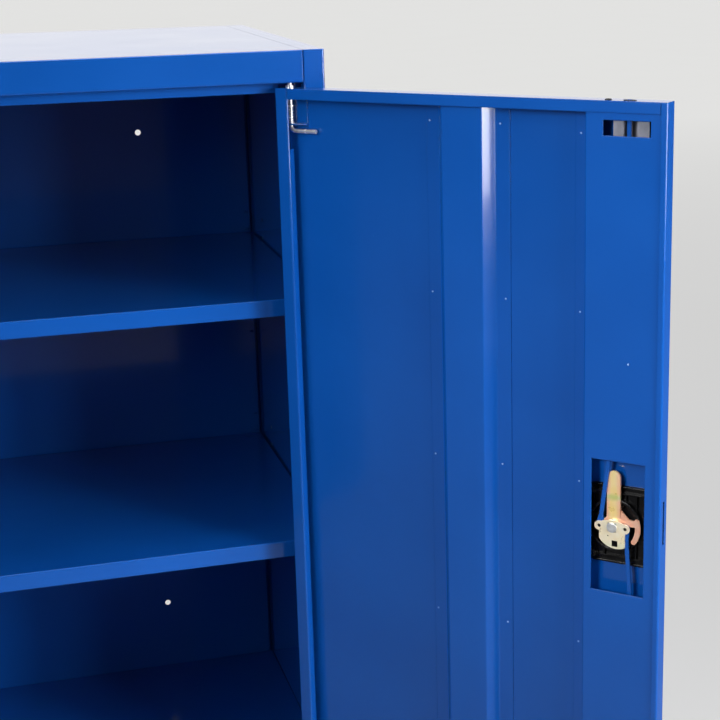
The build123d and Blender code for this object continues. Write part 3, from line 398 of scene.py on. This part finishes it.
# ---------------------------------------------------------------- hinge springs
# A close spring of 0.9 mm wire on each pin, between the bracket's tab and the circlip; it
# pushes the pin up into the rail.
SPRING_FOOT, SPRING_HEAD = 0.9195, 0.9382
COIL_R = 0.0030
WIRE_R = 0.00045
COILS = 7.5
DEAD_TURNS = 1.0  # closed turns at each end
WIRE_ROUGH = 0.18
WIRE_LINES = (400, 400, 400)


def wire(path, radius, around=10):
    """A round wire along a path: each point plus the radius times a circle square to the path,
    with the radius brought to nothing at both ends."""
    run = np.gradient(path, axis=0)
    run /= np.linalg.norm(run, axis=1, keepdims=True)
    out = np.cross(run, (0, 0, 1))
    out /= np.linalg.norm(out, axis=1, keepdims=True)
    up = np.cross(out, run)
    angle = np.linspace(0, 2 * pi, around + 1)[None, :, None]
    ended = [np.concatenate([rows[:1], rows, rows[-1:]])[:, None, :] for rows in (path, out, up)]
    path, out, up = ended
    size = np.full((len(path), 1, 1), radius)
    size[[0, -1]] = 0
    return path + size * (np.cos(angle) * out + np.sin(angle) * up)


def coil(centre, foot, head):
    """A helix: the angle grows evenly, and the height stands still over the closed end turns."""
    turns = np.linspace(0, COILS, 240)
    rise = np.clip((turns - DEAD_TURNS) / (COILS - 2 * DEAD_TURNS), 0, 1)
    closed = np.clip(turns, 0, DEAD_TURNS) + np.clip(turns - COILS + DEAD_TURNS, 0, DEAD_TURNS)
    z = foot + WIRE_R + 2 * WIRE_R * closed
    z = z + rise * (head - foot - 2 * WIRE_R - 4 * WIRE_R * DEAD_TURNS)
    x = centre[0] + COIL_R * np.cos(2 * pi * turns)
    y = centre[1] + COIL_R * np.sin(2 * pi * turns)
    return np.stack([x, y, z], axis=-1)


spring_steel = finish("spring_wire", bright_zinc, WIRE_ROUGH, WIRE_LINES)
for side, name in ((-1, "left"), (1, "right")):
    centre = on_door(side, PIN_U, PIN_H, SPRING_FOOT)
    turns = wire(coil(centre, SPRING_FOOT, SPRING_HEAD), WIRE_R)
    spring = piece(name + "_coil_spring", [turns], spring_steel, name + "_door", sharp=60)
    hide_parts(name + "_hinge_spring")
    tuple(centre)
    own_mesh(spring)

# ---------------------------------------------------------------- bottom pivots
# Headed steel pins, zinc plated and riveted into the plinth's return, that the doors turn on;
# a washer of grey nylon takes each door's weight.
NYLON_GREY = (0.125, 0.135, 0.170, 1)
NYLON_PALE = (0.185, 0.190, 0.235, 1)
FLOW_SIZE = 60  # clouds per metre from the flow in the mould
NYLON_GRAIN = 2600  # grains per metre
NYLON_GRAIN_H = 0.00001
NYLON_SMOOTH, NYLON_ROUGH = 0.38, 0.5
NYLON_DEPTH = 0.002  # how far light goes in
NYLON_SHARE = 0.08


def moulded_nylon(place):
    """Grey nylon: faint flow clouds, and a fine grain from the mould."""
    flow = clouds(place, FLOW_SIZE, 3.0)
    grain = clouds(place, NYLON_GRAIN)
    return {
        "Base Color": tint(spread(flow, 0.35, 0.65, 0, 1), NYLON_GREY, NYLON_PALE),
        "Roughness": spread(grain, 0.3, 0.7, NYLON_SMOOTH, NYLON_ROUGH),
        "Subsurface Weight": NYLON_SHARE,
        "Subsurface Radius": (NYLON_DEPTH, NYLON_DEPTH, NYLON_DEPTH),
        "Normal": place.node("Bump", inputs={"Height": grain * NYLON_GRAIN_H, "Distance": 1.0}),
    }


nylon = finish("grey_moulded_nylon", moulded_nylon)
dress(["bottom_pivot_pins"], washer_zinc)
dress(["bottom_pivot_washers"], nylon)

# ---------------------------------------------------------------- lock housing
# A black moulded box behind the skin carries the lock: a rimmed plate with a raised frame, a
# round collar about the spindle's boss, ribs between them and three screws through the skin.
LOCK_U, LOCK_Z = 0.4048, 0.5090
HOUSING_U = 0.41175
FRAME_U = LOCK_U + 0.0035
BLACK_DEEP = (0.0020, 0.0020, 0.0025, 1)
BLACK_RUBBED = (0.0050, 0.0050, 0.0060, 1)
BLACK_SPECULAR = 0.35
BLACK_CLOUDS = 45  # per metre
BLACK_GRAIN = 2400  # grains per metre
BLACK_GRAIN_H = 0.000015
BLACK_DULLED = 0.12  # how much rougher the rubbed clouds are
HOUSING_SHINE = 0.22
FLOOR_H = 0.0028  # the housing's floor, over the outer face
SPOKES = 8
SPOKE_NEAR, SPOKE_FAR = 0.0100, 0.0275  # from the spindle's centre
SPOKE_W, SPOKE_H = 0.0016, 0.0066
BAR_US = (-0.024, -0.012, 0.012, 0.024)  # ribs from the collar to the frame's ends
BAR_NEAR, BAR_FAR = 0.0295, 0.036
BAR_W, BAR_H = 0.0014, 0.0062
RIB_DRAFT = 0.8  # a rib's width at the top, as a share of its width at the floor
SCREW_U_Z = ((-0.0255, -0.036), (-0.0255, 0.036), (0.0, 0.038))
POST = (5.6, 2.8), (5.3, 5.1), (5.0, 5.38), (0, 5.38), (0, 2.8), (5.6, 2.8)
COLLAR_SIDES, BOSS_SIDES, POST_SIDES = 72, 48, 28


def black_mould(place, shine):
    """Black moulded plastic: a fine spark-eroded grain, with slightly paler rubbed clouds."""
    grain = clouds(place, BLACK_GRAIN)
    rubbed = clouds(place, BLACK_CLOUDS, 3.0)
    return {
        "Base Color": tint(spread(rubbed, 0.4, 0.7, 0, 1), BLACK_DEEP, BLACK_RUBBED),
        "Specular IOR Level": BLACK_SPECULAR,
        "Roughness": spread(rubbed, 0.3, 0.7, shine, shine + BLACK_DULLED),
        "Normal": place.node("Bump", inputs={"Height": grain * BLACK_GRAIN_H, "Distance": 1.0}),
    }


def stack(centre_u, centre_z, rings, samples=7):
    """Rounded rectangles stacked inwards on the right door: each corner's centre plus its radius
    times the cosine and sine of an angle.  A ring is half width, half height, radius and h, in mm."""
    rings = np.array(rings, float)[:, None, :] / 1000
    within = np.linspace(0, pi / 2, samples)
    angle = (np.arange(4)[:, None] * pi / 2 + within).reshape(-1)
    angle = np.append(angle, 2 * pi)
    sign_u = np.append(np.repeat((1, -1, -1, 1), samples), 1)
    sign_z = np.append(np.repeat((1, 1, -1, -1), samples), 1)
    u = centre_u + sign_u * (rings[..., 0] - rings[..., 2]) + rings[..., 2] * np.cos(angle)
    z = centre_z + sign_z * (rings[..., 1] - rings[..., 2]) + rings[..., 2] * np.sin(angle)
    return on_door(1, u, rings[..., 3], z)


def rib(start, end, width, high):
    """A straight rib of the right door between two (u, z) points: a rectangle carried up from the
    housing's floor, drawn in a little at the top, and brought to its middle line to close it."""
    start, end = np.array(start), np.array(end)
    along = (end - start) / np.linalg.norm(end - start)
    across = np.array((-along[1], along[0])) * width / 2
    run = np.array((0, 1, 1, 0, 0))[None, :, None]
    side = np.array((-1, -1, 1, 1, -1))[None, :, None]
    share = np.array((0, 1, RIB_DRAFT, 0))[:, None, None]
    flat = start + run * (end - start) + side * share * across
    level = np.array((FLOOR_H, FLOOR_H, high, high))[:, None]
    return on_door(1, flat[..., 0], level, flat[..., 1])


plate = stack(HOUSING_U, LOCK_Z, [
    (0, 0, 0, 1.0), (37.25, 44, 6, 1.0), (37.25, 44, 6, 4.7), (36.9, 43.7, 5.7, 5.2), (36.4, 43.2, 5.2, 5.38),
    (35.4, 42.2, 4.2, 5.38), (34.9, 41.7, 3.7, 5.1), (34.7, 41.5, 3.5, 3.0), (0, 0, 0, 3.0),
])
raised_frame = stack(FRAME_U, LOCK_Z, [
    (33.0, 37.0, 8, 2.8), (33.0, 37.0, 8, 6.6), (32.6, 36.6, 7.6, 7.0), (31.4, 35.4, 6.4, 7.0),
    (31.0, 35.0, 6.0, 6.6), (31.0, 35.0, 6.0, 2.8), (33.0, 37.0, 8, 2.8),
])
lock_centre = on_door(1, LOCK_U, 0.0, LOCK_Z)
collar = turned(*profile(
    (30, 2.8), (30, 7.5), (29.7, 8.1), (29.2, 8.3), (27.8, 8.3), (27.3, 8.1), (27, 7.5), (27, 2.8), (30, 2.8)
), lock_centre, inward(1), COLLAR_SIDES)
boss = turned(*profile(
    (11, 2.8), (10.6, 7.8), (10.1, 8.3), (7.6, 8.3), (7.08, 7.8), (7.08, 2.8), (11, 2.8)
), lock_centre, inward(1), BOSS_SIDES)
mouldings = [plate, raised_frame, collar, boss]
hub = np.array((LOCK_U, LOCK_Z))
for spoke in (np.arange(SPOKES) + 0.5) * 2 * pi / SPOKES:
    way = np.array((np.cos(spoke), np.sin(spoke)))
    mouldings.append(rib(hub + way * SPOKE_NEAR, hub + way * SPOKE_FAR, SPOKE_W, SPOKE_H))
for u in BAR_US:
    for end in (-1, 1):
        near = (u, end * (BAR_NEAR**2 - u**2) ** 0.5)
        mouldings.append(rib(hub + near, hub + (u, end * BAR_FAR), BAR_W, BAR_H))
for u, z in SCREW_U_Z:
    foot = on_door(1, LOCK_U + u, 0.0, LOCK_Z + z)
    mouldings.append(turned(*profile(*POST), foot, inward(1), POST_SIDES))

housing_black = finish("housing_black_mould", black_mould, HOUSING_SHINE)
housing = piece("lock_box", mouldings, housing_black, "right_door")
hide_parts("lock_housing")

# ---------------------------------------------------------------- lock screws
# Three blackened pan-head screws with a cross recess go through the housing and the skin into
# the plate outside.
LOCK_SEAT = 0.00538  # the posts' tops, over the outer face
HEAD_R, HEAD_RISE, SHANK = 0.0040, 0.0022, 0.008
HEAD_SIDES, HEAD_RINGS = 48, 18
CROWN_FALL, RIM_FALL = 0.35, 0.45  # shares of the head's rise
CROSS_HALF_W, CROSS_REACH = 0.13, 0.58  # the recess, in shares of the head's radius
CROSS_DEPTH = 0.55  # share of the head's rise
CROSS_TURN = 0.4
STEEL_BLACK = (0.012, 0.011, 0.010, 1)
STEEL_WORN = (0.060, 0.058, 0.055, 1)
BLACKED_METAL = 0.6
WORN_SIZE = 300  # worn clouds per metre
WORN_HEIGHT = 0.00001
OILED, DRY = 0.32, 0.5  # roughness


def pan_head(centre, axis, radius, rise, shank):
    """A screw: over a round grid the head's height falls with the square of the radius, and fast
    at the rim, less a cross-shaped recess; then the rim goes down to the shank's end."""
    share = np.linspace(0, 1, HEAD_RINGS)[:, None]
    angle = np.linspace(0, 2 * pi, HEAD_SIDES + 1)[None, :] + CROSS_TURN
    near = np.minimum(abs(share * np.cos(angle)), abs(share * np.sin(angle)))
    cross = np.clip((CROSS_HALF_W - near) / 0.05, 0, 1) * np.clip((CROSS_REACH - share) / 0.08, 0, 1)
    height = rise * (1 - CROWN_FALL * share**2 - RIM_FALL * share**12 - CROSS_DEPTH * cross)
    ring = np.full((1, HEAD_SIDES + 1), radius)
    rows = np.concatenate([radius * share * np.ones_like(angle), ring, ring * 0.5, ring * 0.5, ring * 0])
    levels = np.concatenate([height, ring * 0, ring * 0, ring * 0 - shank, ring * 0 - shank])
    return turned(rows, levels, centre, axis, HEAD_SIDES)


def blackened(place):
    """Steel oiled and blackened: brown-black clouds, worn a little paler here and there."""
    worn = clouds(place, WORN_SIZE, 3.0)
    return {
        "Base Color": tint(spread(worn, 0.45, 0.75, 0, 1), STEEL_BLACK, STEEL_WORN),
        "Metallic": BLACKED_METAL,
        "Roughness": spread(worn, 0.3, 0.7, OILED, DRY),
        "Normal": place.node("Bump", inputs={"Height": worn * WORN_HEIGHT, "Distance": 1.0}),
    }


screw_black = finish("blackened_screw", blackened)
heads = []
for u, z in SCREW_U_Z:
    seat = on_door(1, LOCK_U + u, LOCK_SEAT, LOCK_Z + z)
    heads.append(pan_head(seat, inward(1), HEAD_R, HEAD_RISE, SHANK))
screws = piece("lock_cross_screws", heads, screw_black, "right_door", sharp=30)
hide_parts("lock_screws")

# ---------------------------------------------------------------- outside plate and handle
# A long rounded plate on the outer face, and a turning handle: a ribbed round base with a
# waved grip across it, both black and moulded; the key's plug sits in a bright bezel.
OUTSIDE_SHINE = 0.36
FLUTES = 24
FLUTE_DEPTHS = (0, 0, 0.4, 0.7, 0.7, 0.4, 0, 0)  # in mm, for each row of the base's profile
GRIP_H = -0.0208  # the grip's middle, outside the outer face
GRIP_REACH, GRIP_RISE, GRIP_HALF_W = 0.0418, 0.0104, 0.0084
GRIP_WAVE = 0.09
KEY_ROUGH = 0.16
KEY_LINES = (1200, 1200, 1200)
plate_black = finish("outside_black_mould", black_mould, OUTSIDE_SHINE)
dress(["lock_escutcheon"], plate_black)

# The base: its radius is drawn in between the flutes by up to their depth, as a cosine does.
flute = (np.cos(np.linspace(0, 2 * pi, 6 * FLUTES + 1) * FLUTES)[None, :] - 1) / 2
base_radius, base_height = profile(
    (0, 5.3), (25.0, 5.3), (25.8, 5.8), (25.8, 9.0), (25.6, 12.2), (24.6, 13.8), (22.5, 14.3), (0, 14.3)
)
fluted = np.array(FLUTE_DEPTHS)[:, None] / 1000 * flute
handle_base = turned(base_radius + fluted, base_height, lock_centre, -inward(1), 6 * FLUTES)

# The grip: a rounded rectangle carried along the handle, waved in width and closed at its ends.
along = np.sin(np.linspace(-pi / 2, pi / 2, 61))[:, None]
around = np.linspace(0, 2 * pi, 49)[None, :]
ends = (1 - along**6) ** (1 / 5)
waves = 1 - GRIP_WAVE * (1 - np.cos(3 * pi * along)) / 2
cos_soft = np.sign(np.cos(around)) * abs(np.cos(around)) ** 0.7
sin_soft = np.sign(np.sin(around)) * abs(np.sin(around)) ** 0.7
grip = on_door(
    1,
    LOCK_U + GRIP_REACH * along,
    GRIP_H - GRIP_RISE * ends * sin_soft,
    LOCK_Z + GRIP_HALF_W * ends * waves * cos_soft,
)
bezel = turned(*profile(
    (7.9, 30.6), (7.9, 31.5), (7.5, 31.9), (6.6, 31.9), (6.1, 31.5), (6.1, 30.6), (7.9, 30.6)
), lock_centre, -inward(1), BOSS_SIDES)
handle = piece("turning_handle", [handle_base, grip], plate_black, "lock", sharp=40)
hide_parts("lock_knob")
piece("key_bezel", [bezel], pin_zinc, "lock")
key_zinc = finish("turned_key_plug", bright_zinc, KEY_ROUGH, KEY_LINES)
dress(["key_plug"], key_zinc)

# ---------------------------------------------------------------- tongue and cam plate
# Pressed from 2.5 and 1.5 mm steel, zinc plated and yellow passivated: the film's colour
# runs from pink through straw to green.  They sit on the spindle's square with a spacer.
FILM_STRAW = (0.98, 0.70, 0.22, 1)
FILM_PINK = (0.98, 0.43, 0.26, 1)
FILM_GREEN = (0.52, 0.60, 0.12, 1)
FILM_PALE = (0.92, 0.88, 0.74, 1)
FILM_METAL = 0.35
FILM_SMOOTH, FILM_ROUGH = 0.26, 0.4
FILM_CLOUDS = 90  # per metre
FILM_SPILL = 0.3  # how much paler the clouds are
BAND_NEAR, BAND_FAR = 0.001, 0.005  # from the band's middle to where it fades in and out
BAND_SHARE = 0.8
EDGE_BREAK, BAND_BREAK = 0.006, 0.004  # how far the clouds push the film's borders
ROLLED_LINES = (300, 300, 1400)
ROLLED_HEIGHT = 0.00001
TONGUE_FILM = (0.0075, 0.5415, 0.05)  # half width, height of the band and paleness
CAM_FILM = (0.030, 0.4890, 0.6)
RIVET_ROUGH = 0.30
RIVET_LINES = (1500, 1500, 1500)
EAR_REACH = 0.0148
STUD = (0, 13.35), (1.95, 13.35), (1.95, 14.0), (1.6, 14.2), (0, 14.25)


def yellow_zinc(place, centre_u, half_width, band_z, share):
    """Passivated zinc: straw along a line and pinker towards its edges, a green band across, all
    broken up by clouds, on faint rolling marks."""
    u = place.node("VectorMath", {"operation": "DOT_PRODUCT"}, {0: place, 1: (U_X, U_Y, 0)}, "Value")
    z = place.node("SeparateXYZ", inputs={"Vector": place}, output="Z")
    patches = clouds(place, FILM_CLOUDS, 3.0)
    off_line = abs(u - centre_u) + (patches - 0.5) * EDGE_BREAK
    off_band = abs(z - band_z) + (patches - 0.5) * BAND_BREAK
    film = tint(spread(off_line, half_width * 0.35, half_width, 0, 1), FILM_STRAW, FILM_PINK)
    film = tint(spread(off_band, BAND_NEAR, BAND_FAR, 1, 0) * BAND_SHARE, film, FILM_GREEN)
    marks = clouds(stretched(place, ROLLED_LINES), 1.0)
    return {
        "Base Color": tint(spread(patches, 0.3, 0.7, 0, FILM_SPILL) + share, film, FILM_PALE),
        "Metallic": FILM_METAL,
        "Roughness": spread(patches, 0.3, 0.7, FILM_SMOOTH, FILM_ROUGH),
        "Normal": place.node("Bump", inputs={"Height": marks * ROLLED_HEIGHT, "Distance": 1.0}),
    }


lock_line = float(np.dot(lock_centre[:2], (U_X, U_Y)))
tongue_zinc = finish("tongue_yellow_zinc", yellow_zinc, lock_line, *TONGUE_FILM)
dress(["lock_tongue"], tongue_zinc)
cam_zinc = finish("cam_pale_zinc", yellow_zinc, lock_line, *CAM_FILM)
dress(["cam_plate"], cam_zinc)
rivet_zinc = finish("rivet_zinc", bright_zinc, RIVET_ROUGH, RIVET_LINES)
dress(["lock_spacer", "lock_spindle"], rivet_zinc)

ear_pins = [
    turned(*profile(*STUD), on_door(1, LOCK_U + reach, 0.0, LOCK_Z), inward(1), POST_SIDES)
    for reach in (-EAR_REACH, EAR_REACH)
]
piece("rod_pivot_studs", ear_pins, screw_black, "lock")

# ---------------------------------------------------------------- rods
# Flat steel bars, bent to run from the cam plate's ears to the door's ends; they are coated
# like the door.
ROD_SAG = 0.0  # a bar has no slow waves
rod_coat = finish("coat_on_rods", powder_coat, ROD_SAG)
dress(["upper_rod", "lower_rod"], rod_coat)

# ---------------------------------------------------------------- rod guides and bushes
# Nylon blocks under the door's end returns lead the rods; black bushes line the slots, and
# a small screw from outside holds each block.
GUIDE_SCREW_U, GUIDE_SCREW_H = 0.395, 0.0123
DOOR_TOP, DOOR_FOOT = 0.959, 0.055
GUIDE_HEAD_R, GUIDE_HEAD_RISE, GUIDE_SHANK = 0.0036, 0.0013, 0.006
dress(["upper_rod_guide", "lower_rod_guide"], nylon)
dress(["rod_bushes"], housing_black)

ends = (
    (on_door(1, GUIDE_SCREW_U, GUIDE_SCREW_H, DOOR_TOP), (0, 0, 1)),
    (on_door(1, GUIDE_SCREW_U, GUIDE_SCREW_H, DOOR_FOOT), (0, 0, -1)),
)
guide_heads = [
    pan_head(centre, axis, GUIDE_HEAD_R, GUIDE_HEAD_RISE, GUIDE_SHANK) for centre, axis in ends
]
guide_screws = piece("guide_cross_screws", guide_heads, screw_black, "right_door", sharp=30)
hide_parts("guide_screws")

# ---------------------------------------------------------------- studio
# A pale floor that reaches past the horizon, a white sky that gives little light, and five soft
# lamps: two of them aimed narrowly, at the open door and at the front.
FLOOR_HALF = 60
FLOOR_GREY = (0.20, 0.20, 0.20, 1)
FLOOR_PALE = (0.22, 0.22, 0.22, 1)
FLOOR_ROUGH = 0.9
FLOOR_SPECULAR = 0.1
GLOW_NEAR, GLOW_FAR = (0.50, 0.50, 0.50, 1), (0.71, 0.71, 0.70, 1)
GLOW_START, GLOW_END = 0.5, 7  # metres behind the cabinet's middle
BEHIND_START, BEHIND_END = 0.8, 2.5  # where mirrors begin to see the floor's glow, and see it all
DARK = (0, 0, 0, 1)
SKY_TURN, SKY_FULL = 0.60, 0.90  # how far a mirrored way looks back, where the sky grows white
SKY_FRONT = 0.05  # the sky's strength to mirrors that look towards the viewer
SKY_LIGHT = 0.19
LAMPS = (  # name, place, aim, width, height, spread in degrees, watts
    ("key", (-2.6, -1.7, 3.1), (0.4, -0.2, 0.7), 2.4, 2.4, 180, 36),
    ("right", (2.05, -1.90, 1.00), (0.70, -0.45, 0.50), 0.9, 1.1, 60, 11.5),
    ("strip", (1.33, -1.95, 1.15), (0.40, 0.0, 0.95), 0.25, 1.3, 180, 8),
    ("left", (-1.25, -1.66, 1.55), (0.82, -0.57, 0.85), 0.6, 0.9, 50, 4.3),
    ("top", (0.2, 0.3, 3.2), (0.2, 0.2, 1.0), 2.0, 2.0, 180, 50),
)

floor_mesh = bpy.data.meshes.new("floor")
corners = [(FLOOR_HALF * x, FLOOR_HALF * y, 0) for x, y in ((-1, -1), (1, -1), (1, 1), (-1, 1))]
floor_mesh.from_pydata(corners, [], [(0, 1, 2, 3)])
floor = bpy.data.objects.new("floor", floor_mesh)
bpy.context.scene.collection.objects.link(floor)


def pale_floor(place):
    """Plain matt floor, clouded very faintly.  It looks pale to the camera, and to mirrors that
    turn the view behind the cabinet, through a glow that lights nothing else."""
    seen = place.node("LightPath", output="Is Camera Ray")
    mirrored = seen.node("LightPath", output="Is Glossy Ray")
    mirrored = mirrored + seen.node("LightPath", output="Is Transmission Ray")
    far = place.node("SeparateXYZ", inputs={"Vector": place}, output="Y")
    aside = abs(place.node("SeparateXYZ", inputs={"Vector": place}, output="X"))
    behind = spread(far - aside, BEHIND_START, BEHIND_END, 0, 1)
    glow = tint(spread(far, GLOW_START, GLOW_END, 0, 1), GLOW_NEAR, GLOW_FAR)
    return {
        "Base Color": tint(clouds(place, 2), FLOOR_GREY, FLOOR_PALE),
        "Roughness": FLOOR_ROUGH,
        "Specular IOR Level": FLOOR_SPECULAR,
        "Emission Color": tint(seen + mirrored * behind, DARK, glow),
        "Emission Strength": 1.0,
    }


floor_mesh.materials.append(finish("pale_floor", pale_floor))

# The sky is white to the camera, weak as a light, and white to mirrors only behind the cabinet.
world = bpy.data.worlds.new("studio")
bpy.context.scene.world = world
world.use_nodes = True
world.node_tree.nodes.clear()
seen = Socket(world.node_tree, None).node("LightPath", output="Is Camera Ray")
mirrored = seen.node("LightPath", output="Is Glossy Ray")
mirrored = mirrored + seen.node("LightPath", output="Is Transmission Ray")
way = seen.node("SeparateXYZ", inputs={"Vector": seen.node("TexCoord", output="Generated")}, output="Y")
behind = spread(way, SKY_TURN, SKY_FULL, SKY_FRONT, 1.0)
strength = seen + mirrored * behind + (1 - seen - mirrored) * SKY_LIGHT
background = seen.node("Background", inputs={"Color": (1, 1, 1, 1), "Strength": strength})
seen.node("OutputWorld", inputs={"Surface": background})

for name, place, aim, width, height, spill, power in LAMPS:
    lamp = bpy.data.lights.new(name, "AREA")
    lamp.shape = "RECTANGLE"
    lamp.size = width
    lamp.size_y = height
    lamp.spread = radians(spill)
    lamp.energy = power
    lamp_object = bpy.data.objects.new(name, lamp)
    bpy.context.scene.collection.objects.link(lamp_object)
    lamp_object.location = place
    lamp_object.rotation_euler = (Vector(aim) - Vector(place)).to_track_quat("-Z", "Y").to_euler()

VIEW_PLACE = (0.08086, -1.79478, 1.13169)
VIEW_TURN = (75.182, 1.098, -16.511)  # degrees
VIEW_LENS = 81.32
VIEW_SHIFT = (-0.09028, -0.00875)
camera = bpy.data.cameras.new("view")
camera.lens = VIEW_LENS
camera.sensor_width = 36
camera.shift_x, camera.shift_y = VIEW_SHIFT
camera_object = bpy.data.objects.new("view", camera)
bpy.context.scene.collection.objects.link(camera_object)
camera_object.location = VIEW_PLACE
camera_object.rotation_euler = [radians(turn) for turn in VIEW_TURN]
bpy.context.scene.camera = camera_object
bpy.context.scene.view_settings.view_transform = "Standard"
